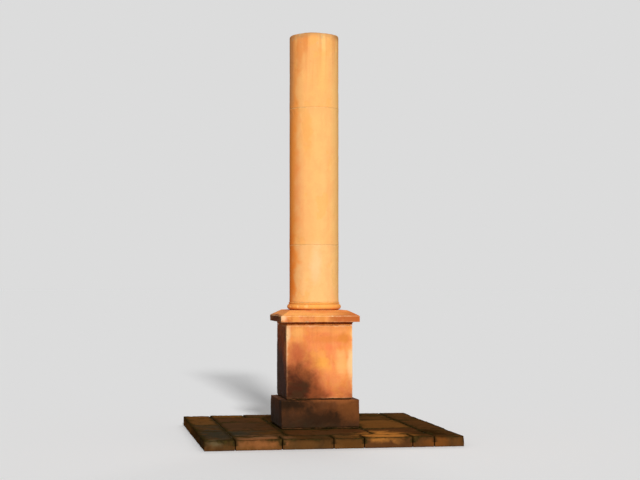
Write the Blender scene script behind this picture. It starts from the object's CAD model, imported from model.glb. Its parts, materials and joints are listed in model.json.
import itertools
import json
import math
import time
import zlib

import bpy
import numpy as np
from mathutils import Euler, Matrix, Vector


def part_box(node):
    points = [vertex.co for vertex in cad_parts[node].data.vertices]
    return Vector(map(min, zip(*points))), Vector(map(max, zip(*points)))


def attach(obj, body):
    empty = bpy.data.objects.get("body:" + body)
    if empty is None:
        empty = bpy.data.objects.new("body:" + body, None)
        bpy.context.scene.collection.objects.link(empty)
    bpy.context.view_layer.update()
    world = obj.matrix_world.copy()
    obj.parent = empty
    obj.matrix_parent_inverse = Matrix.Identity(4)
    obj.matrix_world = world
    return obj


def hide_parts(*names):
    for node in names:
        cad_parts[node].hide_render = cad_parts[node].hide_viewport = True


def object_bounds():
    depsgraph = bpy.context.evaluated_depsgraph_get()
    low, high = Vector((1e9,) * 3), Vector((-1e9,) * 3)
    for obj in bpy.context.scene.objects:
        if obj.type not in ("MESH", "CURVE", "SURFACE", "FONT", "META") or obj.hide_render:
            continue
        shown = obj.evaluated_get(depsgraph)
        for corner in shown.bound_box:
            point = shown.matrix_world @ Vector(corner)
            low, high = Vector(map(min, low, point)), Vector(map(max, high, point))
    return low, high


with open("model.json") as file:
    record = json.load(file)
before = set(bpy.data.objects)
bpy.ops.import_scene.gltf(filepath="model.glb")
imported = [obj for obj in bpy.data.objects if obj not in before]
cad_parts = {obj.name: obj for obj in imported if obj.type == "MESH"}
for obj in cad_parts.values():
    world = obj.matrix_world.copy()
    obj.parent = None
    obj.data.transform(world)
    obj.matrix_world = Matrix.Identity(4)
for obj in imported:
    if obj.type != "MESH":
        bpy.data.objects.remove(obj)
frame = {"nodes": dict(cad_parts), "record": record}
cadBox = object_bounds()
startTime = time.time()
slotOf = {part["node"]: part["material_slot"] for part in frame["record"]["subparts"]}
platformStones = [node for node in frame["nodes"] if slotOf[node] == "platform_stone"]
tiny = 1e-9


def report(stage):
    print(f"{stage}, {time.time() - startTime:.1f} s")


def corners(node):
    # The low and the high corner of a node's box
    low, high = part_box(node)
    return np.array(low), np.array(high)


def begin(node):
    # A piece's seed, its own random numbers, and the low and the high corner of its box
    seed = zlib.crc32(node.encode()) % 100000
    return seed, np.random.default_rng(seed), *corners(node)


def halfSide(node):
    # Half the width of a node whose box has its middle on the column's axis
    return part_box(node)[1].x


# Noise on whole arrays of points

edgeWays = np.array([[a, b, 0] for a in (1, -1) for b in (1, -1)], float)
cornerWays = np.concatenate([edgeWays, np.roll(edgeWays, 1, 1), np.roll(edgeWays, 2, 1), edgeWays])
layerTurn = np.array(Euler((0.9, 0.5, 0.7)).to_matrix())


def cornerNumber(counts, seed):
    # A large number for each lattice corner: its three counts are multiplied by large odd
    # numbers and joined by exclusive or, and the sum is shifted onto itself and multiplied twice
    mix = counts[:, 0] * np.uint32(0x9E3779B1) ^ counts[:, 1] * np.uint32(0x85EBCA77)
    mix = mix ^ counts[:, 2] * np.uint32(0xC2B2AE3D) ^ np.uint32(seed)
    mix = (mix ^ mix >> np.uint32(15)) * np.uint32(0x2C1B3C6D)
    mix = (mix ^ mix >> np.uint32(12)) * np.uint32(0x297A2D39)
    return mix ^ mix >> np.uint32(15)


def smoothNoise(points, size, seed):
    # Gradient noise from -1 to 1: each corner of a cell has a way of its own, and the products of
    # the eight ways with the steps from their corners are blended by 6t^5 - 15t^4 + 10t^3
    scaled = points / size
    floor = np.floor(scaled)
    t = scaled - floor
    blend = t * t * t * (t * (6 * t - 15) + 10)
    counts = floor.astype(np.int64).astype(np.uint32)
    total = np.zeros(len(points))
    for corner in itertools.product((0, 1), repeat=3):
        step = np.array(corner)
        share = np.prod(np.where(step == 1, blend, 1 - blend), axis=1)
        way = cornerWays[cornerNumber(counts + step.astype(np.uint32), seed) >> np.uint32(28)]
        total += share * np.einsum("ij,ij->i", t - step, way)
    return total


def layeredNoise(points, size, layers, seed):
    # Each layer is turned, has half the size and 0.55 of the height of the one before, and the sum
    # is stretched to fill the range from -1 to 1
    total, height = 0, 1.4
    for k in range(layers):
        points = points @ layerTurn
        total += height * smoothNoise(points, size / 2 ** k, seed + k)
        height *= 0.55
    return np.clip(total, -1, 1)


def uneven(points, look, seed):
    # A depth times a noise from 0 to 1
    depth, size, layers = look
    return depth * (0.5 + 0.5 * layeredNoise(points, size, layers, seed))


def varied(points, look, seed):
    # A length that a noise makes longer and shorter by a share of it
    mean, share, size = look
    return mean * (1 + share * layeredNoise(points, size, 2, seed))


def smoothStep(values, low, high):
    # 0 below low, 1 above high and 3tt - 2ttt between them
    t = np.clip((values - low) / (high - low), 0, 1)
    return t * t * (3 - 2 * t)


def flakes(points, share, size, seed):
    # Where a thin skin has come off: 1 where a stretched noise is above its own limit
    stretched = points * np.array([1, 1, 0.7])
    return smoothStep(layeredNoise(stretched, size, 4, seed), 1 - 1.6 * share, 1.16 - 1.6 * share)


def skinLoss(points, look, seed, first=1):
    # How much weather has taken off, broad, rough and in flakes, and where the flakes are
    share, size, depth = look["flaked"]
    lifted = flakes(points, share, size, seed + 4)
    loss = uneven(points, look["broad"], seed + first) + uneven(points, look["rough"], seed + first + 1)
    return loss + depth * lifted, lifted


# Surfaces

def crowded(low, high, count, amount=0.8):
    # count + 1 values from low to high: the sine of an even run, so that they crowd at both ends
    t = np.linspace(-1, 1, count + 1) * amount * math.pi / 2
    return (low + high) / 2 + (high - low) / 2 * np.sin(t) / math.sin(amount * math.pi / 2)


def easedLine(outline, step):
    # Corners are (across, up, ease). Each is rounded by a parabola between the points that lie
    # ease away from it on both sides, and the straight stretches are cut into even steps
    spots = np.array([corner[:2] for corner in outline], float)
    made = [spots[:1]]
    for k in range(1, len(outline)):
        ease = outline[k][2] if k < len(outline) - 1 else 0.0
        before = spots[k] - spots[k - 1]
        end = spots[k] - before / np.linalg.norm(before) * ease
        start = made[-1][-1]
        t = np.linspace(0, 1, max(1, math.ceil(np.linalg.norm(end - start) / step)) + 1)[1:, None]
        made.append(start + (end - start) * t)
        if ease > 0:
            after = spots[k + 1] - spots[k]
            leave = spots[k] + after / np.linalg.norm(after) * ease
            t = np.linspace(0, 1, 5)[1:, None]
            made.append((1 - t) ** 2 * end + 2 * t * (1 - t) * spots[k] + t * t * leave)
    return np.concatenate(made)


def boxProfile(low, high, half, under, side, over):
    # Out along the underside, up the side at half and in over the top. under and over are widths,
    # and side is heights
    across = np.concatenate([under, np.full(len(side), half), over])
    up = np.concatenate([np.full(len(under), low[2]), side, np.full(len(over), high[2])])
    return np.stack([across, up], 1)


def squarePath(columns):
    # Counterclockwise round a square of half side 1 from its front left corner, one side after
    # the other, with points crowded at the corners
    run = crowded(-1, 1, columns)[:-1]
    one = np.ones(columns)
    return np.concatenate([np.stack(side, 1) for side in
                           ((run, -one), (one, run), (-run, one), (-one, -run))])


def circlePath(columns):
    # Counterclockwise round a circle of radius 1 in even steps, columns of them in each quarter
    angle = np.linspace(0, 2 * math.pi, 4 * columns, endpoint=False)
    return np.stack([np.cos(angle), np.sin(angle)], 1)


def carried(profile, path):
    # A profile of (across, up) points carried round a path: plan = path x across, height = up
    grid = np.empty((len(profile), len(path), 3))
    grid[:, :, :2] = profile[:, None, :1] * path[None]
    grid[:, :, 2] = profile[:, 1, None]
    return grid


def ringFaces(rows, columns):
    # Four-sided faces between each row of a closed grid and the next, wound to face outwards, and
    # a fan from each end row to the pole behind it. The poles are the last two points
    index = np.arange(rows * columns).reshape(rows, columns)
    after = np.roll(index, -1, axis=1)
    quads = np.stack([index[:-1], after[:-1], after[1:], index[1:]], -1).reshape(-1, 4)
    bottom = np.stack([np.full(columns, rows * columns), after[0], index[0]], 1)
    top = np.stack([np.full(columns, rows * columns + 1), index[-1], after[-1]], 1)
    return [quads, np.concatenate([bottom, top])]


def gridNormals(grid):
    # Cross product of the steps round the grid and up it, brought to length 1
    around = np.roll(grid, -1, axis=1) - np.roll(grid, 1, axis=1)
    normal = np.cross(around, np.gradient(grid, axis=0))
    normal /= np.maximum(np.linalg.norm(normal, axis=2, keepdims=True), tiny)
    return normal.reshape(-1, 3)


def roundEdges(points, low, high, radius):
    # A ball of the given radius is rolled inside the box: a point goes to the nearest point of
    # the smaller box and from there out again by the radius. Works in two and three dimensions
    reach = radius[:, None]
    inner = np.clip(points, low + reach, high - reach)
    away = points - inner
    normal = away / np.maximum(np.linalg.norm(away, axis=1), tiny)[:, None]
    return inner + normal * reach, normal


def roundCorners(grid, radius):
    # The same in plan for every row of a square grid, so that its upright corners are rounded
    plan = grid[:, :, :2]
    across = np.repeat(np.abs(plan).max(axis=(1, 2)), plan.shape[1])
    limit = across[:, None]
    rounded, _ = roundEdges(plan.reshape(-1, 2), -limit, limit, np.minimum(radius, across))
    grid[:, :, :2] = rounded.reshape(plan.shape)
    return grid


def squareReach(points):
    # Half the side of the upright square round the axis that each point lies on
    return np.abs(points[:, :2]).max(1)


def roundReach(points):
    # Distance from the axis
    return np.hypot(points[:, 0], points[:, 1])


def edgeDistance(points, low, high):
    # Distance to the nearest edge of a box for points on its faces: of the three distances to
    # the nearest face across each axis, the middle one
    gap = np.minimum(np.abs(points - low), np.abs(high - points))
    return np.sort(gap, axis=1)[:, 1]


def boxEdgeSpots(low, high, count, random, bottomToo=True):
    # Random spots on a box's edges, each with the direction that points away from the edge
    spots, outward = [], []
    for k in range(count):
        axis = random.integers(0, 3)
        side = random.integers(0, 2, 3)
        side[2] = side[2] if bottomToo else 1
        spot = np.where(side == 1, high, low)
        out = np.where(side == 1, 1.0, -1.0)
        spot[axis] = random.uniform(low[axis], high[axis])
        out[axis] = random.uniform(-0.3, 0.3)
        spots.append(spot)
        outward.append(out)
    return spots, outward


def rimSpots(radius, height, up, count, random):
    # Random spots on a round rim, each pointing out and up, or out and down
    angle = random.uniform(0, 2 * math.pi, count)
    plan = np.stack([np.cos(angle), np.sin(angle)], 1)
    spots = np.column_stack([plan * radius, np.full(count, height)])
    return spots, np.column_stack([plan, np.full(count, float(up))])


def chipped(points, spots, outward, look, random, seed):
    # Each chip is a ball whose centre lies outside its spot, so that it bites in by its own depth:
    # points inside it move out along its radius to its surface, which noise makes uneven. Returns
    # how worn each point is by it as well: the length of its move over chipWear
    points = points.copy()
    moved = np.zeros(len(points))
    for k, (spot, out) in enumerate(zip(spots, outward)):
        radius = random.uniform(*look["chipRadius"])
        depth = random.uniform(*look["chipDepth"])
        away = points - (spot + out / np.linalg.norm(out) * (radius - depth))
        distance = np.linalg.norm(away, axis=1)
        near = np.flatnonzero(distance < radius * 1.3)
        reach = varied(points[near], (radius, 0.12, radius / 2), seed + 7 * k)
        pushed = np.maximum(reach - distance[near], 0)
        points[near] += away[near] / np.maximum(distance[near], tiny)[:, None] * pushed[:, None]
        moved[near] = np.maximum(moved[near], pushed)
    return points, moved / look["chipWear"]


# Pieces

def makePiece(node, points, faces, masks, material):
    # Puts whole arrays into a mesh, with one number a point for each mask, and lets the piece
    # stand for its node
    mesh = bpy.data.meshes.new("weathered_" + node)
    index = np.concatenate([face.ravel() for face in faces])
    sizes = np.concatenate([np.full(len(face), face.shape[1]) for face in faces])
    mesh.vertices.add(len(points))
    mesh.vertices.foreach_set("co", points.astype(np.float32).ravel())
    mesh.loops.add(len(index))
    mesh.loops.foreach_set("vertex_index", index.astype(np.int32))
    mesh.polygons.add(len(sizes))
    mesh.polygons.foreach_set("loop_start", (np.cumsum(sizes) - sizes).astype(np.int32))
    mesh.update(calc_edges=True)
    mesh.shade_smooth()
    for name, values in masks.items():
        layer = mesh.attributes.new(name, "FLOAT", "POINT")
        layer.data.foreach_set("value", np.broadcast_to(values, len(points)).astype(np.float32))
    mesh.materials.append(material)
    piece = bpy.data.objects.new(mesh.name, mesh)
    bpy.context.scene.collection.objects.link(piece)
    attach(piece, "root")
    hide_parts(node)


def turnedPiece(node, points, grid, material, worn, shelter, flaked, tone=0.5):
    # A piece from a closed grid's points, with a pole in the middle of its first row and of its
    # last one, where the masks are 0
    rows = points.reshape(grid.shape)
    poled = np.concatenate([points, [rows[0].mean(0), rows[-1].mean(0)]])
    masks = {"worn": worn, "shelter": shelter, "flaked": flaked, "tone": tone}
    masks = {name: np.append(np.broadcast_to(values, len(points)), [0, 0])
             for name, values in masks.items()}
    makePiece(node, poled, ringFaces(*grid.shape[:2]), masks, material)


# What a user would change is in one dictionary for each piece. An unevenness is its depth, the
# size of its noise and how many layers it has. A rounding is its mean radius, the share by which
# that varies and the size of its noise. flaked is the share that has come off, and the size and
# depth of a flake. What ends in Reach is how far wear or dirt reaches in from an edge, a joint or
# another piece, and a chip as deep as chipWear shows as fully worn

# Platform

platformShape = {
    "cell": 0.011,                      # step of the grid on the stones' tops
    "kerbRows": 12, "slabRows": 6,      # steps down the sides of a kerb stone and of a slab
    "arris": (0.010, 0.6, 0.09),        # rounding worn on the top edges
    "dish": (0.0045, 0.26, 3),          # broad unevenness of the tops
    "pitting": (0.0016, 0.035, 3),      # small unevenness of the tops
    "hewn": (0.009, 0.09, 4),           # unevenness of the faces that show at the platform's edge
    "flaked": (0.42, 0.16, 0.0022),
    "sink": 0.0045,                     # how much lower than its neighbours a stone may lie
    "tilt": 0.0035,                     # how much one side of a stone may lie lower than the other
    "outside": 0.004,                   # how near to the platform's side a face counts as outer
    "wornReach": 0.010, "jointReach": 0.035, "plinthReach": 0.05,
    "chips": 5, "chipRadius": (0.02, 0.06), "chipDepth": (0.003, 0.012), "chipWear": 0.004,
}


def tray(low, high, cell, rows):
    # A slab's top as a grid of x and y, its sides as loops that go down from the grid's border,
    # and its underside as a fan from its middle. Returns points and faces
    size = high - low
    xs, ys = (crowded(low[k], high[k], max(6, round(size[k] / cell)), 0.6) for k in (0, 1))
    top = np.stack([*np.meshgrid(xs, ys), np.full((len(ys), len(xs)), high[2])], -1)
    index = np.arange(top.shape[0] * top.shape[1]).reshape(top.shape[:2])
    loop = np.concatenate([index[0, :-1], index[:-1, -1], index[-1, :0:-1], index[:0:-1, 0]])
    drop = np.linspace(0, 1, rows + 1)[1:] ** 1.5 * size[2]
    sides = np.repeat(top.reshape(-1, 3)[loop][None], rows, 0)
    sides[:, :, 2] -= drop[:, None]
    middle = np.append((low[:2] + high[:2]) / 2, low[2])
    points = np.concatenate([top.reshape(-1, 3), sides.reshape(-1, 3), middle[None]])
    lower = index.size + np.arange(rows * len(loop)).reshape(rows, len(loop))
    upper = np.concatenate([loop[None], lower[:-1]])
    quads = [np.stack([index[:-1, :-1], index[:-1, 1:], index[1:, 1:], index[1:, :-1]], -1),
             np.stack([lower, np.roll(lower, -1, 1), np.roll(upper, -1, 1), upper], -1)]
    last = lower[-1]
    fan = np.stack([np.full(len(loop), len(points) - 1), np.roll(last, -1), last], 1)
    return points, [np.concatenate([quad.reshape(-1, 4) for quad in quads]), fan]


def platformStone(node, material):
    # A tray whose edges are rounded, whose top is sunk, tilted and dished, and whose outer faces
    # are hewn: each is a noise times its own depth, and all of them only take stone away
    look = platformShape
    seed, random, low, high = begin(node)
    rows = look["kerbRows" if node.startswith("kerb") else "slabRows"]
    flat, faces = tray(low, high, look["cell"], rows)
    deep = low - np.array([0, 0, 1.0])
    points, normal = roundEdges(flat, deep, high, varied(flat, look["arris"], seed))
    spots = boxEdgeSpots(low, high, look["chips"], random, bottomToo=False)
    points, chipWear = chipped(points, *spots, look, random, seed)
    up = np.clip(normal[:, 2], 0, 1)
    outer = (squareReach(flat) > cadBox[1].x - look["outside"]) & (up < 0.9)
    points -= normal * (uneven(points, look["hewn"], seed + 11) * outer)[:, None]
    share = (flat[:, 2] - low[2]) / (high[2] - low[2])
    plan = (high - low)[:2]
    lean = random.uniform(-1, 1, 2) * look["tilt"] / plan
    drop = random.uniform(0, look["sink"]) + np.abs(lean) @ (plan / 2)
    drop = drop + (flat - (low + high) / 2)[:, :2] @ lean
    drop += uneven(points, look["dish"], seed + 21) * up + uneven(points, look["pitting"], seed + 31) * up
    flakeShare, flakeSize, flakeDepth = look["flaked"]
    lifted = flakes(points, flakeShare, flakeSize, seed + 41) * up
    drop += flakeDepth * lifted
    points[:, 2] = np.maximum(points[:, 2] - drop * share, low[2])
    nearEdge = edgeDistance(flat, deep, high)
    toPlinth = np.maximum(squareReach(flat) - halfSide("plinth_block"), 0)
    masks = {
        "worn": np.clip(np.exp(-nearEdge / look["wornReach"]) + chipWear, 0, 1),
        "shelter": np.maximum(np.exp(-nearEdge / look["jointReach"]),
                              np.exp(-toPlinth / look["plinthReach"])) * (share > 0.4),
        "flaked": lifted,
        "tone": random.uniform(0, 1),
    }
    makePiece(node, points, faces, masks, material)


jointShape = {
    "cell": 0.012, "narrowCell": 0.004,  # step along the joints, and across them
    "tuck": 0.003,                       # how far the mortar reaches under the stones' worn edges
    "sag": (0.009, 0.05, 3),             # depth to which it has washed out
}


def latticeLines(edges, low, high, cell, narrow):
    # Every stone edge between low and high, with even steps between them: narrow ones where two
    # edges lie closer together than a joint
    lines = np.unique(np.round(np.concatenate([[low, high], edges]), 4))
    lines = lines[(lines >= low) & (lines <= high)]
    made = [np.linspace(a, b, math.ceil((b - a) / (narrow if b - a < 0.03 else cell)) + 1)[:-1]
            for a, b in zip(lines[:-1], lines[1:])]
    return np.append(np.concatenate(made), high)


def platformJoints(node, material):
    # A lattice of x and y lines. The cells that no stone covers are kept: each has a top whose
    # height is a noise, an underside, and a wall wherever its neighbour isn't kept
    look = jointShape
    seed, _, low, high = begin(node)
    plans = np.array([[stone[0][:2], stone[1][:2]] for stone in map(corners, platformStones)])
    plans[:, 0] += look["tuck"]
    plans[:, 1] -= look["tuck"]
    xs, ys = (latticeLines(plans[:, :, k].ravel(), low[k], high[k], look["cell"], look["narrowCell"])
              for k in (0, 1))
    centreX, centreY = np.meshgrid((xs[:-1] + xs[1:]) / 2, (ys[:-1] + ys[1:]) / 2)
    kept = np.ones(centreX.shape, bool)
    for stoneLow, stoneHigh in plans:
        inside = (centreX > stoneLow[0]) & (centreX < stoneHigh[0])
        kept &= ~(inside & (centreY > stoneLow[1]) & (centreY < stoneHigh[1]))
    plan = np.stack(np.meshgrid(xs, ys), -1).reshape(-1, 2)
    top, bottom = (np.column_stack([plan, np.full(len(plan), end[2])]) for end in (high, low))
    top[:, 2] -= uneven(top, look["sag"], seed)
    index = np.arange(len(plan)).reshape(len(ys), len(xs))
    a, b, c, d = index[:-1, :-1], index[:-1, 1:], index[1:, 1:], index[1:, :-1]
    under = len(plan)
    around = np.pad(kept, 1)
    walls = ((a, b, around[:-2, 1:-1]), (b, c, around[1:-1, 2:]),
             (c, d, around[2:, 1:-1]), (d, a, around[1:-1, :-2]))
    faces = [np.stack([a, b, c, d], -1)[kept], np.stack([d, c, b, a], -1)[kept] + under]
    for start, end, neighbour in walls:
        bare = kept & ~neighbour
        start, end = start[bare], end[bare]
        faces.append(np.stack([start + under, end + under, end, start], -1))
    used, faces = np.unique(np.concatenate(faces), return_inverse=True)
    points = np.concatenate([top, bottom])[used]
    masks = {"worn": 0.0, "shelter": 1.0, "flaked": 0.0, "tone": 0.5}
    makePiece(node, points, [faces.reshape(-1, 4)], masks, material)


# Square blocks

blockShape = {
    "plinth_block": {
        "columns": 130, "rows": 46, "topLip": 0.085, "bottomLip": 0.03, "arris": (0.009, 0.6, 0.08),
        "broad": (0.0030, 0.20, 2), "rough": (0.0016, 0.030, 3), "flaked": (0.45, 0.16, 0.0030),
        "foot": (0.004, 0.06, 3), "footReach": 0.06, "wornReach": 0.012, "wallReach": 0.02,
        "chips": 22, "chipRadius": (0.018, 0.055), "chipDepth": (0.003, 0.012), "chipWear": 0.003,
    },
    "die_block": {
        "columns": 124, "rows": 134, "topLip": 0.03, "bottomLip": 0.03, "arris": (0.007, 0.5, 0.08),
        "broad": (0.0018, 0.26, 2), "rough": (0.0009, 0.026, 3), "flaked": (0.40, 0.24, 0.0022),
        "foot": (0.005, 0.06, 3), "footReach": 0.09, "wornReach": 0.022, "wallReach": 0.02,
        "capReach": 0.05,
        "chips": 20, "chipRadius": (0.015, 0.045), "chipDepth": (0.002, 0.010), "chipWear": 0.003,
    },
}


def squareBlock(node, material):
    # A profile out from the underside's middle, up the side and in over the top is carried round
    # a square. Its edges are rounded, chips bite into them, and noises take the faces back
    look = blockShape[node]
    seed, random, low, high = begin(node)
    half, lip = high[0], look["topLip"]
    under = [0.4 * half, 0.8 * half, *np.linspace(half - look["bottomLip"], half, 6)[:-1]]
    over = [*np.linspace(half, half - lip, max(5, round(lip / 0.007)))[1:], 0.6 * half, 0.3 * half]
    profile = boxProfile(low, high, half, under, crowded(low[2], high[2], look["rows"], 0.7), over)
    grid = carried(profile, squarePath(look["columns"]))
    flat = grid.reshape(-1, 3)
    points, normal = roundEdges(flat, low, high, varied(flat, look["arris"], seed))
    spots = boxEdgeSpots(low, high, look["chips"], random)
    points, chipWear = chipped(points, *spots, look, random, seed)
    foot = np.exp(-(flat[:, 2] - low[2]) / look["footReach"])
    loss, lifted = skinLoss(flat, look, seed)
    loss += foot * uneven(flat, look["foot"], seed + 3)
    shown = np.minimum(1, np.maximum(squareReach(flat) / half - 0.7, 0) * 8)
    points -= normal * (loss * shown)[:, None]
    rise = halfSide("die_block") if node == "plinth_block" else half
    wall = np.abs(squareReach(flat) - rise)
    shelter = np.maximum(foot, np.where(normal[:, 2] > 0.7, np.exp(-wall / look["wallReach"]), 0))
    if node == "die_block":
        shelter = np.maximum(shelter, np.exp(-(high[2] - flat[:, 2]) / look["capReach"]))
    worn = np.clip(np.exp(-edgeDistance(flat, low, high) / look["wornReach"]) + chipWear, 0, 1)
    turnedPiece(node, points, grid, material, worn, shelter, lifted)


# Cap

capShape = {
    "columns": 116, "step": 0.007,
    "neckBand": 0.006,       # plain band under the hollow moulding
    "hollow": 0.019,         # radius of the hollow moulding
    "fascia": 0.067,         # height of the upright face
    "ease": 0.007,           # rounding worn on the edges
    "seatMargin": 0.020,     # flat seat that shows round the base moulding
    "corner": 0.010,         # rounding worn on the upright corners
    "soffit": 0.012,         # margin of the soffit that stays clean
    "wornReach": 0.007, "ringReach": 0.02,
    "broad": (0.0016, 0.2, 2), "rough": (0.0012, 0.03, 3), "flaked": (0.36, 0.14, 0.0018),
    "chips": 16, "chipRadius": (0.016, 0.045), "chipDepth": (0.003, 0.011), "chipWear": 0.003,
}


def capStone(node, material):
    # A moulded profile (band, quarter-round hollow, soffit, upright face, slope and seat) carried
    # round a square, so that its corners are mitred, then chipped and taken back by noises
    look = capShape
    seed, random, low, high = begin(node)
    bottom, top, half, neck = low[2], high[2], high[0], halfSide("die_block")
    seat = halfSide("base_ring") + look["seatMargin"]
    band = bottom + look["neckBand"]
    soffit = band + look["hollow"]
    shoulder = soffit + look["fascia"]
    angle = np.linspace(0, math.pi / 2, 7)
    across = neck + look["hollow"] * (1 - np.cos(angle))
    hollow = np.stack([across, band + look["hollow"] * np.sin(angle)], 1)
    lower = easedLine([(0.35 * neck, bottom, 0), (0.9 * neck, bottom, 0), (neck, bottom, 0.003),
                       (neck, band, 0)], 0.02)
    ease = look["ease"]
    upper = easedLine([(*hollow[-1], 0), (half, soffit, ease), (half, shoulder, ease),
                       (seat, top, ease), (0.85 * seat, top, 0)], look["step"])
    profile = np.concatenate([lower, hollow[1:-1], upper, [[0.6 * seat, top], [0.3 * seat, top]]])
    grid = roundCorners(carried(profile, squarePath(look["columns"])), look["corner"])
    flat = grid.reshape(-1, 3)
    height, width = flat[:, 2], squareReach(flat)
    faceLow, faceHigh = np.array([-half, -half, soffit]), np.array([half, half, shoulder])
    spots = boxEdgeSpots(faceLow, faceHigh, look["chips"], random)
    points, chipWear = chipped(flat, *spots, look, random, seed)
    loss, lifted = skinLoss(flat, look, seed)
    points -= gridNormals(grid) * (loss * np.clip((width / seat - 0.8) * 8, 0, 1))[:, None]
    onFascia = (height > soffit - 0.001) & (height < shoulder + 0.01)
    edge = np.exp(-edgeDistance(flat, faceLow, faceHigh) / look["wornReach"])
    worn = np.clip(np.where(onFascia, edge, 0) + chipWear, 0, 1)
    under = (height < soffit + 0.001) & (width < half - look["soffit"])
    toRing = np.maximum(roundReach(flat) - halfSide("base_ring"), 0)
    shelter = np.maximum(under, np.exp(-toRing / look["ringReach"]) * (height > shoulder))
    turnedPiece(node, points, grid, material, worn, shelter, lifted, onFascia)


# Column

ringShape = {
    "columns": 72, "step": 0.006,
    "bandProjection": 0.008,  # how far the band stands out beyond the shaft
    "bandHeight": 0.016, "ease": 0.004, "footReach": 0.012, "bandReach": 0.005,
    "broad": (0.0012, 0.15, 2), "rough": (0.0008, 0.025, 3), "flaked": (0.34, 0.12, 0.0012),
    "chips": 9, "chipRadius": (0.014, 0.035), "chipDepth": (0.003, 0.008), "chipWear": 0.003,
}


def baseRing(node, material):
    # A half-round roll under a plain band: the profile is a half circle, then the band's eased
    # outline, carried round a circle
    look = ringShape
    seed, random, low, high = begin(node)
    bottom, top = low[2], high[2]
    roll = (top - bottom - look["bandHeight"]) / 2
    band = halfSide("shaft_lower_drum") + look["bandProjection"]
    angle = np.linspace(-math.pi / 2, math.pi / 2, 20)
    rolled = np.stack([high[0] - roll * (1 - np.cos(angle)), bottom + roll * (1 + np.sin(angle))], 1)
    upper = easedLine([(*rolled[-1], 0), (band, rolled[-1][1], 0), (band, top, look["ease"]),
                       (0.8 * band, top, 0)], look["step"])
    profile = np.concatenate([[[0.3 * band, bottom], [0.8 * band, bottom]], rolled, upper[1:],
                              [[0.3 * band, top]]])
    grid = carried(profile, circlePath(look["columns"]))
    flat = grid.reshape(-1, 3)
    spots = rimSpots(high[0], bottom + roll, 0.6, look["chips"], random)
    points, chipWear = chipped(flat, *spots, look, random, seed)
    loss, lifted = skinLoss(flat, look, seed)
    points -= gridNormals(grid) * (loss * (roundReach(flat) > 0.85 * band))[:, None]
    height = flat[:, 2] - bottom
    underBand = np.exp(-np.abs(height - 2 * roll) / look["bandReach"])
    shelter = np.maximum(np.exp(-height / look["footReach"]), underBand)
    turnedPiece(node, points, grid, material, np.clip(chipWear, 0, 1), shelter, lifted)


drumShape = {
    "columns": 66, "cell": 0.008, "lip": 0.024, "arris": (0.0010, 0.4, 0.07),
    "topRound": (0.028, 0.25, 0.10),        # what weather has worn on the shaft's top edge
    "facet": 0.0010, "facetWidth": 0.042,   # the long flats left by the mason's strokes
    "broad": (0.0016, 0.24, 2), "rough": (0.0006, 0.03, 3), "flaked": (0.34, 0.22, 0.0014),
    "topDish": (0.007, 0.16, 4),            # how far the top has weathered down in places
    "rimChips": 12,                         # chips on the shaft's open top edge
    "chips": 4, "chipRadius": (0.014, 0.030), "chipDepth": (0.002, 0.005), "chipWear": 0.003,
    "wornReach": 0.006, "jointReach": 0.008,
    "calmReach": 0.05,                      # how far from its joints a drum keeps near its true face
    "tone": {"shaft_lower_drum": 0.85, "shaft_middle_drum": 0.45, "shaft_upper_drum": 0.30},
}


def shaftDrum(node, material):
    # A profile out along the underside, up the side and in over the top, rounded by rolling a
    # ball inside it and carried round a circle, with long upright flats, chips and wear
    look = drumShape
    seed, random, low, high = begin(node)
    bottom, top, radius = low[2], high[2], high[0]
    isTop = abs(top - cadBox[1].z) < 0.001
    lip = np.linspace(radius - look["lip"], radius, 5)[:-1]
    inward = np.linspace(radius, 0.012, 26 if isTop else 5)[1:]
    side = crowded(bottom, top, round((top - bottom) / look["cell"]), 0.6)
    profile = boxProfile(low, high, radius, [0.4 * radius, 0.8 * radius, *lip], side,
                         [*lip[::-1], *inward[inward < lip[0] - 0.002]])
    grid = carried(profile, circlePath(look["columns"]))
    flat = grid.reshape(-1, 3)
    ball = varied(flat, look["arris"], seed)
    if isTop:
        rim = varied(flat, look["topRound"], seed + 5)
        ball = np.where(flat[:, 2] > bottom + (top - bottom) / 2, rim, ball)
    reach = roundReach(flat)
    turned = flat[:, :2] / reach[:, None]
    section = np.stack([reach, flat[:, 2]], 1)
    section, out = roundEdges(section, np.array([-1, bottom]), np.array([radius, top]), ball)
    points, normal = (np.column_stack([turned * pair[:, :1], pair[:, 1]]) for pair in (section, out))
    upper = rimSpots(radius, top, 1, look["rimChips" if isTop else "chips"], random)
    lower = rimSpots(radius, bottom, -1, look["chips"], random)
    points, chipWear = chipped(points, *np.concatenate([upper, lower], 1), look, random, seed)
    strokes = points * np.array([1, 1, 0.06])
    loss, lifted = skinLoss(flat, look, seed, 2)
    loss += look["facet"] * (0.5 + 0.5 * smoothNoise(strokes, look["facetWidth"], seed + 1))
    ends = np.minimum(flat[:, 2] - bottom, 9 if isTop else top - flat[:, 2])
    loss *= (reach > 0.9 * radius) * (0.3 + 0.7 * smoothStep(ends, 0, look["calmReach"]))
    points -= normal * loss[:, None]
    if isTop:
        points[:, 2] -= uneven(flat, look["topDish"], seed + 6) * np.clip(out[:, 1], 0, 1)
    worn = np.clip(np.exp(-ends / look["wornReach"]) * 0.4 + chipWear, 0, 1)
    shelter = np.exp(-ends / look["jointReach"])
    turnedPiece(node, points, grid, material, worn, shelter, lifted, look["tone"][node])


# Mortar beds

bedShape = {
    "columns": 84,           # steps along a side of a square bed, and a quarter of a round one
    "rows": 4, "noise": (0.06, 3),
    # path, depth to which weather has washed the mortar out, and how far mortar smeared over the
    # joint fills its recess: the pedestal's beds, the fuller one under the cap, and the column's
    "block": (squarePath, 0.006, 0.0),
    "neck": (squarePath, 0.002, 0.006),
    "drum": (circlePath, 0.0004, 0.0017),
}


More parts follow.
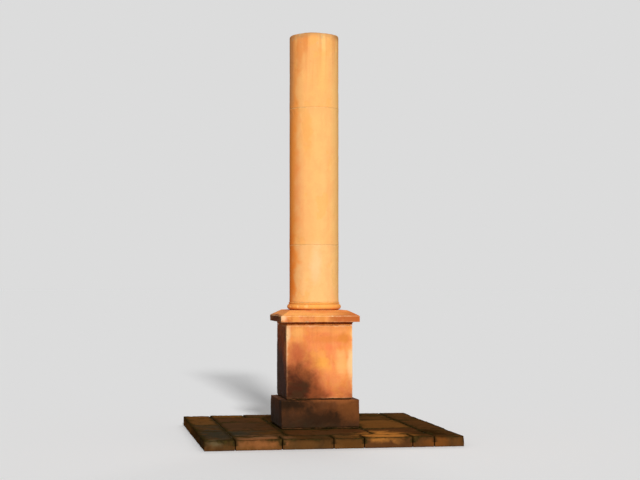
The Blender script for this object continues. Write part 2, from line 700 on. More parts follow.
def mortarBed(node, kind, material):
    # A thin profile carried round a square or a circle, widened by filled and pushed in by a
    # noise times its depth
    look = bedShape
    path, washed, filled = look[kind]
    seed, _, low, high = begin(node)
    half = high[0] + filled
    side = np.linspace(low[2], high[2], look["rows"] + 1)
    profile = boxProfile(low, high, half, [0.5 * half, 0.93 * half], side, [0.93 * half, 0.5 * half])
    grid = carried(profile, path(look["columns"]))
    points = grid.reshape(-1, 3)
    bulge = 4 * (points[:, 2] - low[2]) * (high[2] - points[:, 2]) / (high[2] - low[2]) ** 2
    push = uneven(points, (washed, *look["noise"]), seed) - 0.25 * washed * bulge
    push = np.maximum(push * (squareReach(points) > 0.6 * high[0]), 0)
    points[:, :2] -= points[:, :2] / np.maximum(roundReach(points), tiny)[:, None] * push[:, None]
    turnedPiece(node, points, grid, material, 0, 0.8, 0)


# Shader nodes

groups = {}


def linearColour(seen):
    # A colour as it is seen, from 0 to 255, turned into the linear values that shaders use
    seen = np.array(seen) / 255
    return (*np.where(seen > 0.04045, ((seen + 0.055) / 1.055) ** 2.4, seen / 12.92), 1.0)


class NodeNet:
    # A node tree with short calls that add to it. place is what its patterns read, and base is
    # the colour so far

    def __init__(self, tree):
        self.tree = tree

    def add(self, kind, settings=None, **inputs):
        # A node with its settings, its constant inputs and its links. Returns its outputs. _ in
        # an input's name is a space, and a colour of three numbers is as it is seen
        node = self.tree.nodes.new(kind if kind.startswith("NodeGroup") else "ShaderNode" + kind)
        for name, value in (settings or {}).items():
            setattr(node, name, value)
        for name, value in inputs.items():
            socket = node.inputs[int(name[5:]) if name.startswith("input") else name.replace("_", " ")]
            if isinstance(value, bpy.types.NodeSocket):
                self.tree.links.new(value, socket)
            else:
                isSeen = socket.type == "RGBA" and len(value) == 3
                socket.default_value = linearColour(value) if isSeen else value
        count = len(self.tree.nodes)
        node.location = (count % 10 * 220, -(count // 10) * 320)
        return node.outputs

    def calculate(self, operation, a, b=0.0):
        # Any operation on one value or two, and the four usual ones
        return self.add("Math", {"operation": operation}, input0=a, input1=b)[0]

    def plus(self, a, b):
        return self.calculate("ADD", a, b)

    def minus(self, a, b):
        return self.calculate("SUBTRACT", a, b)

    def times(self, a, b):
        return self.calculate("MULTIPLY", a, b)

    def over(self, a, b):
        return self.calculate("DIVIDE", a, b)

    def vector(self, operation, a, **inputs):
        # The same with vectors
        return self.add("VectorMath", {"operation": operation}, input0=a, **inputs)

    def parts(self):
        # x, y and z of the place
        return self.add("SeparateXYZ", Vector=self.place)

    def stretched(self, stretch):
        # The same place with its height multiplied by stretch
        x, y, z = self.parts()
        return self.add("CombineXYZ", X=x, Y=y, Z=self.times(z, stretch))[0]

    def step(self, value, low, high):
        # 0 below low, 1 above high and the smooth step between them
        return self.add("MapRange", {"interpolation_type": "SMOOTHSTEP"}, Value=value,
                        From_Min=low, From_Max=high)[0]

    def noise(self, scale, detail=3.0, roughness=0.55, distortion=0.0, at=None):
        # Layered noise from 0 to 1 at the place, or at another vector
        return self.add("TexNoise", Vector=self.place if at is None else at, Scale=scale, Detail=detail,
                        Roughness=roughness, Distortion=distortion)["Fac"]

    def centredNoise(self, *settings):
        # Layered noise from -0.5 to 0.5
        return self.minus(self.noise(*settings), 0.5)

    def cells(self, scale, at=None):
        # A cell pattern: each point's distance to the nearest of many scattered centres
        return self.add("TexVoronoi", Vector=self.place if at is None else at, Scale=scale)

    def chance(self, cells, channel):
        # A cell's own random number
        return self.add("SeparateColor", Color=cells["Color"])[channel]

    def mix(self, factor, a, b, mode="MIX"):
        # (1 - factor) x a + factor x b, or another way of mixing colours
        return self.add("Mix", {"data_type": "RGBA", "blend_type": mode},
                        input0=factor, input6=a, input7=b)[2]

    def coat(self, mask, strength, over):
        # Lays a colour over the base where the mask is, by the given strength
        self.base = self.mix(self.times(mask, strength), self.base, over)

    def attribute(self, name):
        # One of the masks that makePiece gives a mesh
        return self.add("Attribute", {"attribute_name": name})["Fac"]

    def use(self, name, **inputs):
        # A shader node group at the place, with its own values. Returns its outputs
        return self.add("Group", {"node_tree": groups[name]}, Vector=self.place, **inputs)

    def mask(self, name, **inputs):
        return self.use(name, **inputs)["Mask"]


def nodeGroup(**inputs):
    # Makes the function below it a shader node group of its name, which takes a Vector and the
    # given inputs, and puts out what the function returns
    def build(maker):
        tree = bpy.data.node_groups.new(maker.__name__, "ShaderNodeTree")
        for name, value in {"Vector": (0, 0, 0), **inputs}.items():
            kind = "NodeSocketFloat" if isinstance(value, float) else "NodeSocketVector"
            socket = tree.interface.new_socket(name=name, in_out="INPUT", socket_type=kind)
            socket.default_value = value
        net = NodeNet(tree)
        given = net.add("NodeGroupInput")
        net.place = given["Vector"]
        made = maker(net, *[given[name] for name in inputs])
        for name in made:
            tree.interface.new_socket(name=name, in_out="OUTPUT", socket_type="NodeSocketFloat")
        net.add("NodeGroupOutput", **made)
        groups[maker.__name__] = tree
        return maker
    return build


@nodeGroup(Size=0.004)
def stoneGrain(net, size):
    # Sand grains: a fine noise, with darker specks where a cell pattern's centres lie
    scale = net.over(1.0, size)
    fine = net.noise(scale, 4.0, 0.7)
    specks = net.step(net.cells(net.times(scale, 0.4))["Distance"], 0.08, 0.34)
    return {"Tone": net.plus(net.times(fine, 0.7), net.times(specks, 0.3)), "Height": fine}


@nodeGroup(Size=0.3, Stretch=1.0, Contrast=0.2)
def tonePatches(net, size, stretch, contrast):
    # Patches of another tone: a soft noise, drawn out upwards by Stretch and sharpened by Contrast
    noise = net.noise(net.over(1.0, size), 4.0, 0.6, 0.5, net.stretched(stretch))
    return {"Mask": net.step(noise, net.minus(0.5, contrast), net.plus(0.5, contrast))}


@nodeGroup(Spacing=0.05, Wobble=0.03)
def bedding(net, spacing, wobble):
    # The sand's layers: a noise of the height alone, bent by a broad noise
    x, y, z = net.parts()
    height = net.plus(z, net.times(net.noise(2.5, 2.0), wobble))
    sheet = net.add("CombineXYZ", X=net.times(x, 0.06), Y=net.times(y, 0.06), Z=height)[0]
    return {"Mask": net.step(net.noise(net.over(1.0, spacing), 3.0, 0.6, at=sheet), 0.36, 0.64)}


@nodeGroup(Top=1.0, Reach=0.5, Width=0.03)
def rainRuns(net, top, reach, width):
    # Dark runs left by rain: narrow upright streaks under the height Top that fade over Reach
    tall = net.stretched(0.05)
    streak = net.step(net.noise(net.over(1.0, width), 3.0, 0.6, at=tall), 0.46, 0.66)
    drop = net.over(net.minus(top, net.parts()[2]), reach)
    ragged = net.times(net.noise(9.0, 2.0, at=tall), 0.9)
    fade = net.minus(1.0, net.step(net.plus(drop, ragged), 0.2, 1.3))
    return {"Mask": net.times(net.times(streak, fade), net.step(drop, -0.02, 0.02))}


@nodeGroup(Size=0.05, Cover=0.3)
def lichenCrust(net, size, cover):
    # Crusts of lichen: discs round some of a cell pattern's centres, with edges bent by a noise
    scale = net.over(1.0, size)
    bend = net.add("TexNoise", Vector=net.place, Scale=net.times(scale, 2.5), Detail=3.0)["Color"]
    bend = net.vector("SCALE", bend, Scale=net.times(size, 0.5))[0]
    cells = net.cells(scale, net.vector("ADD", net.place, input1=bend)[0])
    radius = net.times(net.minus(cover, net.chance(cells, 0)), 1.2)
    mask = net.step(net.minus(radius, cells["Distance"]), -0.06, 0.10)
    return {"Mask": mask, "Height": net.times(mask, net.noise(net.times(scale, 12.0)))}


@nodeGroup(Size=0.02, Share=0.2)
def stonePits(net, size, share):
    # Small holes: cells whose own random number is below Share have a round pit at their centre
    cells = net.cells(net.over(1.0, size))
    chosen = net.step(net.minus(share, net.chance(cells, 1)), 0.0, 0.08)
    return {"Mask": net.times(chosen, net.minus(1.0, net.step(cells["Distance"], 0.10, 0.34)))}


@nodeGroup(Across=0.0, Spacing=0.009)
def toolMarks(net, across, spacing):
    # Strokes of the chisel: a wave across them, bent by a noise and fading in and out
    turns = net.plus(net.over(across, spacing), net.times(net.noise(14.0, 2.0), 1.6))
    wave = net.calculate("SINE", net.times(turns, 2 * math.pi))
    return {"Height": net.times(wave, net.step(net.noise(7.0, 2.0), 0.35, 0.65))}


@nodeGroup(Level=0.5, Rise=0.0, Ragged=0.3, Softness=0.1)
def risingStain(net, level, rise, ragged, softness):
    # Damp that rises from below: 1 under Level, which is higher by Rise on the left half, by a
    # smooth step across the middle that widens towards the back, and higher still towards the
    # left side's back. A noise makes it ragged
    x, y, z = net.parts()
    half = halfSide("die_block")
    back = net.step(y, -half, 0.4 * half)
    bound = net.times(net.plus(back, 1.0), 0.5 * half)
    left = net.step(x, bound, net.times(bound, -1.0))
    share = net.times(left, net.plus(net.times(back, 0.7), 1.0))
    level = net.plus(level, net.times(share, rise))
    level = net.plus(level, net.times(net.centredNoise(5.0, 6.0, 0.68, 0.4), ragged))
    return {"Mask": net.step(net.minus(level, z), net.times(softness, -1.0), softness)}


@nodeGroup(Centre=(0, 0, 0), Reach=(1, 1, 1), Ragged=1.0)
def softCloud(net, centre, reach, ragged):
    # A soft patch round Centre: 1 inside, fading out where the distance, counted in units of Reach
    # and bent by a noise, nears 1
    away = net.vector("SUBTRACT", net.place, input1=centre)[0]
    distance = net.vector("LENGTH", net.vector("DIVIDE", away, input1=reach)[0])["Value"]
    distance = net.plus(distance, net.times(net.centredNoise(8.0, 5.0, 0.6, 0.3), ragged))
    return {"Mask": net.step(distance, 1.0, 0.25)}


@nodeGroup(Shelter=0.0, Up=0.0, Amount=0.5)
def mossFilm(net, shelter, up, amount):
    # A film of moss: more of it in sheltered places and on surfaces that face up, broken by a noise
    score = net.plus(net.times(shelter, 0.22), net.times(up, 0.06))
    mask = net.step(net.plus(net.plus(score, net.noise(6.5, 6.0, 0.62, 0.3)), amount), 0.92, 1.10)
    return {"Mask": mask, "Height": net.times(mask, net.noise(160.0, 4.0, 0.7))}


@nodeGroup(Worn=0.0, Amount=1.0)
def edgeWear(net, worn, amount):
    # Worn edges: the piece's own mask of its edges and chips, broken by a noise
    broken = net.plus(net.times(worn, amount), net.centredNoise(30.0, 4.0, 0.65))
    return {"Mask": net.step(broken, 0.25, 0.85)}


report("node groups are made")


# Materials

def startMaterial(name, specular=0.05):
    # A new material's tree, whose patterns read the place on the object
    material = bpy.data.materials.new(name)
    material.use_nodes = True
    net = NodeNet(material.node_tree)
    net.material = material
    net.shader = net.tree.nodes["Principled BSDF"].inputs
    net.shader["Specular IOR Level"].default_value = specular
    coordinates = net.add("TexCoord")
    net.place = coordinates["Object"]
    net.up = net.add("SeparateXYZ", Vector=coordinates["Normal"])[2]  # how far a face looks up
    return net


def finishMaterial(net, roughness, heights, distance):
    # Joins colour and roughness to the shader, and the sum of the heights (height, share) to a bump
    total = 0.0
    for height, share in heights:
        total = net.plus(net.times(height, share), total)
    bump = net.add("Bump", Height=total, Distance=distance)[0]
    for name, value in (("Base Color", net.base), ("Roughness", roughness), ("Normal", bump)):
        net.tree.links.new(value, net.shader[name])
    return net.material


def spotOn(node, spot):
    # A spot of three numbers as it is, of (across, height) on a block's front, and of
    # (degrees, height) on the shaft, where 0 is in front and 90 to the right
    if len(spot) == 3:
        return spot
    half = halfSide(node)
    if node.startswith("shaft"):
        turn = math.radians(spot[0])
        return (half * math.sin(turn), -half * math.cos(turn), spot[1])
    return (spot[0], -half, spot[1])


def clouded(net, node, clouds, ragged):
    # Soft patches of other tones, each with its spot, reach, share and colour
    for spot, reach, *layer in clouds:
        net.coat(net.mask("softCloud", Centre=spotOn(node, spot), Reach=reach, Ragged=ragged), *layer)


def sandstoneBody(net, node, look):
    # The stone under its stains: two tones in patches, small mottles, pale streaks, fresher stone
    # where a skin has come off, soft clouds at chosen places, faint layers, grains and a few pits
    def patches(size, stretch, contrast):
        return net.mask("tonePatches", Size=size, Stretch=stretch, Contrast=contrast)

    size, stretch = look["patches"]
    net.base = net.mix(patches(size, stretch, 0.14), look["first"], look["second"])
    net.coat(net.attribute("tone"), *look["tone"])
    net.coat(patches(look["mottleSize"], 0.8, 0.10), *look["mottle"])
    net.coat(patches(size * 0.3, stretch * 0.5, 0.18), *look["pale"])
    net.coat(net.attribute("flaked"), *look["fresh"])
    clouded(net, node, look["clouds"], look["ragged"])
    net.coat(net.mask("bedding", Spacing=look["bedSpacing"], Wobble=0.05), *look["bed"])
    grain = net.use("stoneGrain", Size=look["grain"])
    pits = net.mask("stonePits", Size=look["pitSize"], Share=look["pitShare"])
    dark = net.mix(1.0, net.base, (0.84, 0.80, 0.78, 1.0), "MULTIPLY")
    net.base = net.mix(net.step(grain["Tone"], 0.25, 0.75), dark, net.base)
    net.coat(pits, 0.3, look["pitColour"])
    return grain["Height"], pits


# In the colours below, first and second are the stone's two tones, and what has a share before
# its colour is laid over them. Colours are as they are seen, from 0 to 255. A cloud is its spot,
# reach, share and colour

shaftColours = {
    "first": (254, 184, 102), "second": (250, 163, 87), "patches": (0.55, 0.22),
    "tone": (0.7, (254, 196, 134)), "mottle": (0.35, (250, 170, 104)), "mottleSize": 0.09,
    "pale": (0.35, (255, 200, 126)), "fresh": (0.35, (252, 180, 92)),
    "bed": (0.08, (240, 158, 88)), "bedSpacing": 0.16,
    "grain": 0.0040, "pitSize": 0.05, "pitShare": 0.06, "pitColour": (200, 132, 78),
    "worn": (0.35, (252, 208, 146)), "run": (0.50, (206, 112, 52)), "runReach": 0.9,
    "rim": (0.8, (188, 138, 88)), "lichen": (0.45, (200, 176, 126)), "grime": (0.06, (236, 170, 100)),
    "ragged": 1.0,
    "clouds": [  # the first two are the deeper and the bleached side
        ((-80, 2.9), (0.20, 0.20, 4.00), 0.90, (255, 150, 58)),
        ((62, 2.9), (0.20, 0.20, 4.00), 0.60, (255, 204, 124)),
        ((-44, 4.10), (0.07, 0.07, 0.34), 0.55, (236, 132, 58)),
        ((-31, 4.20), (0.05, 0.05, 0.18), 0.45, (238, 140, 64)),
        ((11, 4.22), (0.09, 0.09, 0.17), 0.50, (255, 212, 138)),
        ((-82, 3.98), (0.14, 0.14, 0.95), 0.80, (234, 162, 98)),
        ((-82, 1.75), (0.14, 0.14, 0.80), 0.70, (255, 128, 36)),
        ((13, 3.85), (0.10, 0.10, 0.38), 0.35, (254, 200, 112)),
        ((-28, 3.17), (0.10, 0.10, 0.38), 0.35, (252, 168, 86)),
        ((-49, 2.60), (0.10, 0.10, 0.60), 0.35, (250, 158, 100)),
        ((-6, 1.84), (0.09, 0.09, 0.30), 0.55, (255, 206, 152)),
        ((58, 4.29), (0.10, 0.10, 0.08), 0.65, (166, 116, 70)),
    ],
}

ringColours = dict(shaftColours, first=(250, 174, 80), second=(244, 154, 66), tone=(0.0, (254, 196, 134)),
                   pale=(0.35, (252, 184, 94)), clouds=shaftColours["clouds"][:1])


def shaftMaterial(name, look):
    # Dressed orange sandstone with rain runs from the open top, a brown crust on the rim, lichen
    # there and a little grime at the joints
    net = startMaterial(name)
    grain, pits = sandstoneBody(net, "shaft_middle_drum", look)
    net.coat(net.mask("edgeWear", Worn=net.attribute("worn"), Amount=0.8), *look["worn"])
    top = cadBox[1].z
    net.coat(net.mask("rainRuns", Top=top + 0.02, Reach=look["runReach"], Width=0.05), *look["run"])
    x, y, height = net.parts()
    ragged = net.times(net.noise(9.0, 4.0), 0.08)
    net.coat(net.step(net.plus(height, ragged), top - 0.04, top + 0.05), *look["rim"])
    lichen = net.use("lichenCrust", Size=0.045, Cover=0.42)
    net.coat(net.times(lichen["Mask"], net.step(height, top - 0.30, top)), *look["lichen"])
    net.coat(net.times(net.attribute("shelter"), net.noise(22.0)), *look["grime"])
    angle = net.calculate("ARCTAN2", y, x)
    tool = net.use("toolMarks", Across=angle, Spacing=2 * math.pi / 150)["Height"]
    heights = [(grain, 0.55), (tool, 0.10), (pits, -0.8), (lichen["Height"], 0.5)]
    return finishMaterial(net, net.step(grain, -1.2, 1.1), heights, 0.0012)


pedestalColours = {
    "first": (250, 158, 80), "second": (234, 134, 72), "patches": (0.24, 0.8),
    "tone": (0.0, (212, 122, 64)), "mottle": (0.5, (246, 140, 92)), "mottleSize": 0.085,
    "pale": (0.40, (254, 184, 106)), "fresh": (0.40, (252, 170, 84)),
    "bed": (0.15, (222, 124, 68)), "bedSpacing": 0.14,
    "grain": 0.0042, "pitSize": 0.05, "pitShare": 0.05, "pitColour": (180, 104, 58),
    "worn": (0.8, (255, 206, 150)), "run": (0.22, (180, 100, 54)), "grime": (0.8, (176, 96, 46)),
    "film": (0.55, (62, 44, 24)), "lichen": (0.5, (206, 160, 100)), "lichenCover": 0.1,
    "ragged": 1.2, "clouds": [],
    "stains": [],      # height above the foot, rise to the left, raggedness, softness, share, colour
    "thinStains": [],  # clouds over the stains, where they are thin
}

dieColours = dict(
    pedestalColours,
    clouds=[
        ((-halfSide("die_block") - 0.015, 0.0, 1.05), (0.05, 0.80, 0.28), 0.90, (56, 28, 9)),
        ((-0.24, 1.12), (0.12, 0.20, 0.10), 0.80, (254, 186, 104)),
        ((-0.25, 0.91), (0.15, 0.20, 0.14), 0.70, (198, 102, 62)),
        ((-0.345, 1.11), (0.050, 0.07, 0.20), 0.90, (255, 216, 158)),
        ((0.03, 1.03), (0.22, 0.20, 0.19), 0.50, (232, 126, 74)),
        ((0.08, 1.14), (0.26, 0.20, 0.05), 0.60, (255, 172, 98)),
        ((0.10, 1.04), (0.28, 0.20, 0.055), 0.60, (228, 134, 62)),
        ((0.09, 0.95), (0.07, 0.20, 0.06), 0.70, (244, 134, 80)),
        ((0.03, 0.79), (0.11, 0.20, 0.09), 0.65, (254, 176, 76)),
        ((0.15, 0.66), (0.20, 0.20, 0.10), 0.45, (240, 138, 84)),
        ((0.23, 0.78), (0.10, 0.20, 0.20), 0.75, (254, 190, 114)),
        ((0.335, 0.79), (0.055, 0.06, 0.25), 0.85, (255, 206, 146)),
        ((0.27, 1.04), (0.10, 0.20, 0.08), 0.75, (222, 134, 56)),
        ((0.345, 1.11), (0.04, 0.06, 0.06), 0.60, (255, 186, 108)),
    ],
    stains=[
        (0.08, 0.44, 0.40, 0.22, 0.75, (164, 78, 44)),
        (-0.11, 0.41, 0.46, 0.18, 0.94, (56, 27, 15)),
    ],
    thinStains=[((-0.05, 0.47), (0.11, 0.20, 0.17), 0.90, (142, 73, 38))],
)

capColours = dict(
    pedestalColours,
    first=(248, 162, 84), second=(238, 146, 74), pale=(0.40, (254, 182, 102)),
    tone=(0.85, (192, 106, 50)), grime=(1.4, (172, 64, 0)), lichenCover=0.16,
    clouds=[
        ((0.32, 1.25), (0.28, 0.34, 0.13), 0.85, (180, 92, 40)),
        ((-halfSide("cap_stone"), 0.00, 1.235), (0.05, 0.84, 0.13), 0.92, (84, 36, 14)),
        ((-0.40, 1.26), (0.06, 0.06, 0.05), 0.85, (255, 204, 156)),
        ((-0.10, 1.30), (0.50, 0.20, 0.028), 0.60, (255, 184, 100)),
    ],
)

plinthColours = dict(
    pedestalColours,
    first=(100, 56, 27), second=(80, 45, 22), pale=(0.40, (120, 70, 36)), mottle=(0.5, (112, 68, 40)),
    fresh=(0.40, (112, 62, 30)), bed=(0.15, (72, 42, 22)), worn=(0.28, (120, 74, 40)),
    film=(0.55, (50, 41, 24)), grime=(0.8, (42, 29, 17)), pitColour=(44, 28, 16), lichenCover=0.22,
    ragged=1.8,
    clouds=[
        ((0.31, 0.30), (0.20, 0.24, 0.20), 0.75, (130, 76, 36)),
        ((0.00, 0.20), (0.34, 0.24, 0.14), 0.95, (22, 17, 9)),
        ((-0.32, 0.38), (0.36, 0.24, 0.17), 1.00, (28, 21, 12)),
        ((-0.30, 0.19), (0.14, 0.24, 0.08), 0.85, (98, 58, 28)),
    ],
    stains=[
        (0.14, 0.10, 0.35, 0.20, 0.50, (72, 43, 23)),
        (-0.02, 0.14, 0.35, 0.13, 0.75, (46, 31, 19)),
    ],
    thinStains=[((0.12, 0.41), (0.30, 0.20, 0.06), 0.75, (148, 86, 44))],
)


def pedestalMaterial(name, node, look):
    # Red sandstone: grime where it is sheltered, runs under the cap, stains that rise on the left
    # and are thin on rubbed edges, a dark film in the last of them, and lichen on what faces up
    net = startMaterial(name)
    grain, pits = sandstoneBody(net, node, look)
    worn = net.mask("edgeWear", Worn=net.attribute("worn"), Amount=0.9)
    net.coat(worn, *look["worn"])
    shelter = net.attribute("shelter")
    net.coat(net.times(shelter, net.noise(20.0, 4.0)), *look["grime"])
    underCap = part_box("die_block")[1].z + 0.01
    net.coat(net.mask("rainRuns", Top=underCap, Reach=0.5, Width=0.05), *look["run"])
    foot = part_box(node)[0].z
    kept = net.minus(1.0, net.times(worn, 0.25))
    damp = 0.0
    for above, rise, ragged, softness, *layer in look["stains"]:
        stain = net.mask("risingStain", Level=foot + above, Rise=rise, Ragged=ragged, Softness=softness)
        damp = net.times(stain, kept)
        net.coat(damp, *layer)
    clouded(net, node, look["thinStains"], look["ragged"])
    moss = net.use("mossFilm", Shelter=shelter, Up=net.up, Amount=0.40)
    net.coat(net.times(moss["Mask"], damp), *look["film"])
    lichen = net.mask("lichenCrust", Size=0.04, Cover=look["lichenCover"])
    net.coat(net.times(lichen, net.step(net.up, 0.2, 0.7)), *look["lichen"])
    x, y, z = net.parts()
    slope = net.plus(net.plus(x, y), net.times(z, 0.6))
    tool = net.use("toolMarks", Across=slope, Spacing=0.011)["Height"]
    roughness = net.step(net.minus(grain, net.times(damp, 0.3)), -1.3, 1.1)
    heights = [(grain, 0.55), (tool, 0.14), (pits, -1.0), (moss["Height"], 0.5)]
    return finishMaterial(net, roughness, heights, 0.0012)


platformColours = {
    "first": (90, 58, 28), "second": (66, 44, 22), "patches": (0.30, 1.0),
    "tone": (0.0, (140, 92, 48)), "mottle": (0.4, (84, 62, 36)), "mottleSize": 0.10,
    "pale": (0.35, (112, 74, 36)), "fresh": (0.5, (104, 66, 31)),
    "bed": (0.2, (74, 46, 22)), "bedSpacing": 0.12,
    "grain": 0.0048, "pitSize": 0.04, "pitShare": 0.22, "pitColour": (34, 23, 12),
    "ochre": (0.6, (136, 86, 38)), "red": (0.5, (94, 54, 28)), "worn": (0.45, (118, 74, 36)),
    "dirt": (0.7, (40, 27, 13)), "lichen": (0.35, (116, 88, 50)),
    "ragged": 1.6,
    "clouds": [
        ((-1.05, -0.80, 0.12), (0.46, 0.70, 0.16), 0.80, (52, 54, 44)),
        ((-0.85, 0.15, 0.12), (0.62, 1.10, 0.10), 0.60, (62, 62, 50)),
        ((-0.70, -1.12, 0.12), (0.42, 0.34, 0.05), 0.75, (158, 112, 78)),
        ((-1.22, -1.28, 0.09), (0.16, 0.16, 0.10), 0.75, (106, 92, 64)),
        ((-0.72, -1.28, 0.08), (0.30, 0.16, 0.10), 0.60, (172, 106, 62)),
        ((0.54, -1.06, 0.12), (0.38, 0.50, 0.10), 0.95, (250, 164, 72)),
        ((0.00, -0.90, 0.12), (0.44, 0.50, 0.05), 0.60, (92, 76, 48)),
        ((1.02, -0.90, 0.12), (0.32, 0.55, 0.06), 0.92, (46, 30, 10)),
        ((1.02, -1.30, 0.04), (0.26, 0.10, 0.10), 0.60, (138, 78, 28)),
        ((0.14, -1.30, 0.05), (0.20, 0.10, 0.09), 0.75, (44, 25, 8)),
    ],
}

mossColours = ((40, 34, 15), (66, 54, 22))


def mossy(net, shelter, amount, share):
    # Moss in two greens over the base. Returns its height
    moss = net.use("mossFilm", Shelter=shelter, Up=net.up, Amount=amount)
    green = net.mix(net.step(net.noise(40.0, 4.0), 0.35, 0.65), *mossColours)
    net.coat(moss["Mask"], share, green)
    return moss["Height"]


def platformMaterial(name, look):
    # Weathered slabs: each stone has its own tone, with dirt and moss from the joints inwards and
    # pale lichen in the open
    net = startMaterial(name, 0.0)
    grain, pits = sandstoneBody(net, "bearing_slab", look)
    tone = net.attribute("tone")
    net.coat(net.step(tone, 0.62, 0.95), *look["ochre"])
    net.coat(net.minus(1.0, net.step(tone, 0.05, 0.4)), *look["red"])
    net.coat(net.mask("edgeWear", Worn=net.attribute("worn"), Amount=0.9), *look["worn"])
    shelter = net.attribute("shelter")
    net.coat(net.step(net.times(shelter, net.noise(14.0, 5.0, 0.65)), 0.08, 0.5), *look["dirt"])
    lichen = net.use("lichenCrust", Size=0.06, Cover=0.26)
    net.coat(net.times(lichen["Mask"], net.up), *look["lichen"])
    moss = mossy(net, shelter, 0.32, 0.75)
    heights = [(grain, 0.7), (pits, -1.3), (moss, 2.0), (lichen["Height"], 0.6)]
    return finishMaterial(net, net.step(grain, -1.5, 1.0), heights, 0.0018)


mortarColours = {  # sand, lime, dirt and how much moss
    "shaft": ((255, 204, 130), (255, 220, 154), (250, 192, 118), 0.0),
    "neck": ((232, 138, 62), (244, 152, 74), (206, 110, 40), 0.0),
    "foot": ((90, 56, 30), (108, 70, 40), (46, 30, 17), 0.30),
    "joint": ((56, 39, 22), (74, 52, 30), (31, 21, 12), 0.36),
}


def mortarMaterial(name, sand, lime, dirt, mossAmount):
    # Lime mortar: coarse sand in a paler binder, with dirt, and moss where it is given
    net = startMaterial(name)
    grain = net.use("stoneGrain", Size=0.005)
    net.base = net.mix(net.step(grain["Tone"], 0.3, 0.7), sand, lime)
    net.coat(net.mask("tonePatches", Size=0.08, Stretch=1.0, Contrast=0.15), 0.7, dirt)
    moss = mossy(net, net.attribute("shelter"), mossAmount, 0.9)
    roughness = net.step(grain["Tone"], -1.5, 1.0)
    return finishMaterial(net, roughness, [(grain["Height"], 1.0), (moss, 3.0)], 0.002)


# Stage

stageLook = {
    "eye": (-2.565, -14.98, 1.62),    # where the photograph was taken from
    "heading": 9.96,                  # degrees from +Y towards +X
    "tilt": 1.773,                    # degrees above the horizon
    "lens": 79.43,
    "floorSize": 800,
    "floorSeen": 0.98,                # paleness of the floor for the camera, and for its own light
    "floorGives": 0.45,
    "key": {"from": (-1, 22), "strength": 3.05, "softness": 6},       # directions in degrees
    "fill": {"from": (165, 35), "strength": 0.75, "softness": 40},
    "skyLight": 0.23,
}


def fromDegrees(azimuth, elevation):
    # The unit vector that leads away in a direction: azimuth 0 is in front and 90 to the right
    a, e = math.radians(azimuth), math.radians(elevation)
    return np.array([math.sin(a) * math.cos(e), -math.cos(a) * math.cos(e), math.sin(e)])


def placed(name, data, towards):
    # A new lamp or camera that looks along a direction
    thing = bpy.data.objects.new(name, data)
    thing.rotation_euler = Vector(towards).to_track_quat("-Z", "Y").to_euler()
    bpy.context.scene.collection.objects.link(thing)
    return thing


def makeSun(name):
    # A lamp as wide as softness says, which shines against its direction
    look = stageLook[name]
    lamp = bpy.data.lights.new(name, "SUN")
    lamp.energy = look["strength"]
    lamp.angle = math.radians(look["softness"])
    placed(name, lamp, -fromDegrees(*look["from"]))


def floorLevel():
    # How bright the lit floor looks: its paleness times the light on it, which is each lamp's
    # strength times the sine of its height, over pi, and the sky
    lamps = sum(stageLook[name]["strength"] * math.sin(math.radians(stageLook[name]["from"][1]))
                for name in ("key", "fill"))
    return stageLook["floorSeen"] * (lamps / math.pi + stageLook["skyLight"])


def makeFloor():
    # A wide square at height 0. Its colour is one grey for the camera and another for the light
    # that it gives back: seen x floorSeen + (1 - seen) x floorGives
    size = stageLook["floorSize"] / 2
    mesh = bpy.data.meshes.new("studioFloor")
    outline = [(-size, -size, 0), (size, -size, 0), (size, size, 0), (-size, size, 0)]
    mesh.from_pydata(outline, [], [(0, 1, 2, 3)])
    net = startMaterial("studioFloor", 0.0)
    seen = net.add("LightPath")["Is Camera Ray"]
    pale, given = ((*[stageLook[name]] * 3, 1) for name in ("floorSeen", "floorGives"))
    net.tree.links.new(net.mix(seen, given, pale), net.shader["Base Color"])
    net.shader["Roughness"].default_value = 1.0
    mesh.materials.append(net.material)
    floor = bpy.data.objects.new("studioFloor", mesh)
    bpy.context.scene.collection.objects.link(floor)


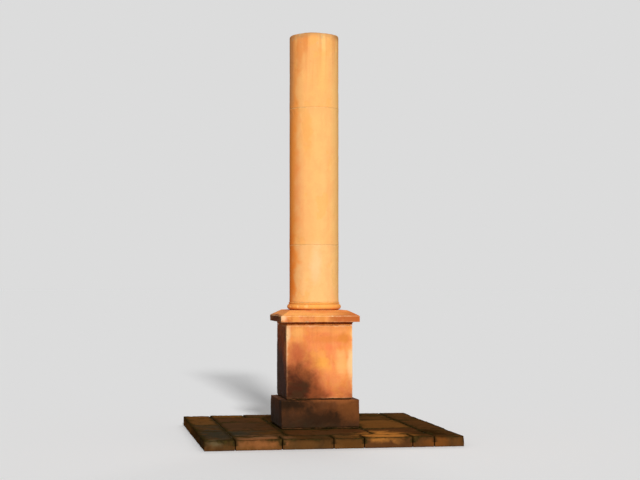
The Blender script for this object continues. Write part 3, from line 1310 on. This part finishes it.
def makeWorld():
    # A white sky that lights the object evenly. The camera and mirrors see it as bright as the floor
    world = bpy.data.worlds.new("studio")
    bpy.context.scene.world = world
    world.use_nodes = True
    net = NodeNet(world.node_tree)
    background = net.tree.nodes["Background"].inputs
    path = net.add("LightPath")
    seen = net.calculate("MAXIMUM", path["Is Camera Ray"], path["Is Glossy Ray"])
    strength = net.add("MapRange", Value=seen, To_Min=stageLook["skyLight"], To_Max=floorLevel())[0]
    background["Color"].default_value = (1, 1, 1, 1)
    net.tree.links.new(strength, background["Strength"])


def makeCamera():
    # Stands where the photograph was taken from, and looks along its heading and tilt
    data = bpy.data.cameras.new("camera")
    data.lens = stageLook["lens"]
    data.sensor_width = 36
    data.clip_end = 2000
    camera = placed("camera", data, fromDegrees(180 - stageLook["heading"], stageLook["tilt"]))
    camera.location = stageLook["eye"]
    bpy.context.scene.camera = camera


makeCamera()
makeWorld()
makeFloor()
makeSun("key")
makeSun("fill")
bpy.context.scene.view_settings.view_transform = "Standard"
report("stage is set")

mortar = {name: mortarMaterial(name + "Mortar", *look) for name, look in mortarColours.items()}
stone = platformMaterial("platformStone", platformColours)
for node in platformStones:
    platformStone(node, stone)
platformJoints("platform_joints", mortar["joint"])
report("platform is laid")

squareBlock("plinth_block", pedestalMaterial("plinthSandstone", "plinth_block", plinthColours))
squareBlock("die_block", pedestalMaterial("dieSandstone", "die_block", dieColours))
capStone("cap_stone", pedestalMaterial("capSandstone", "cap_stone", capColours))
mortarBed("plinth_bed", "block", mortar["foot"])
mortarBed("die_bed", "block", mortar["foot"])
mortarBed("cap_bed", "neck", mortar["neck"])
report("pedestal stands")

baseRing("base_ring", shaftMaterial("ringSandstone", ringColours))
stone = shaftMaterial("shaftSandstone", shaftColours)
for node in ("shaft_lower_drum", "shaft_middle_drum", "shaft_upper_drum"):
    shaftDrum(node, stone)
for node in ("ring_bed", "shaft_bed", "lower_drum_bed", "upper_drum_bed"):
    mortarBed(node, "drum", mortar["shaft"])
report("column stands")
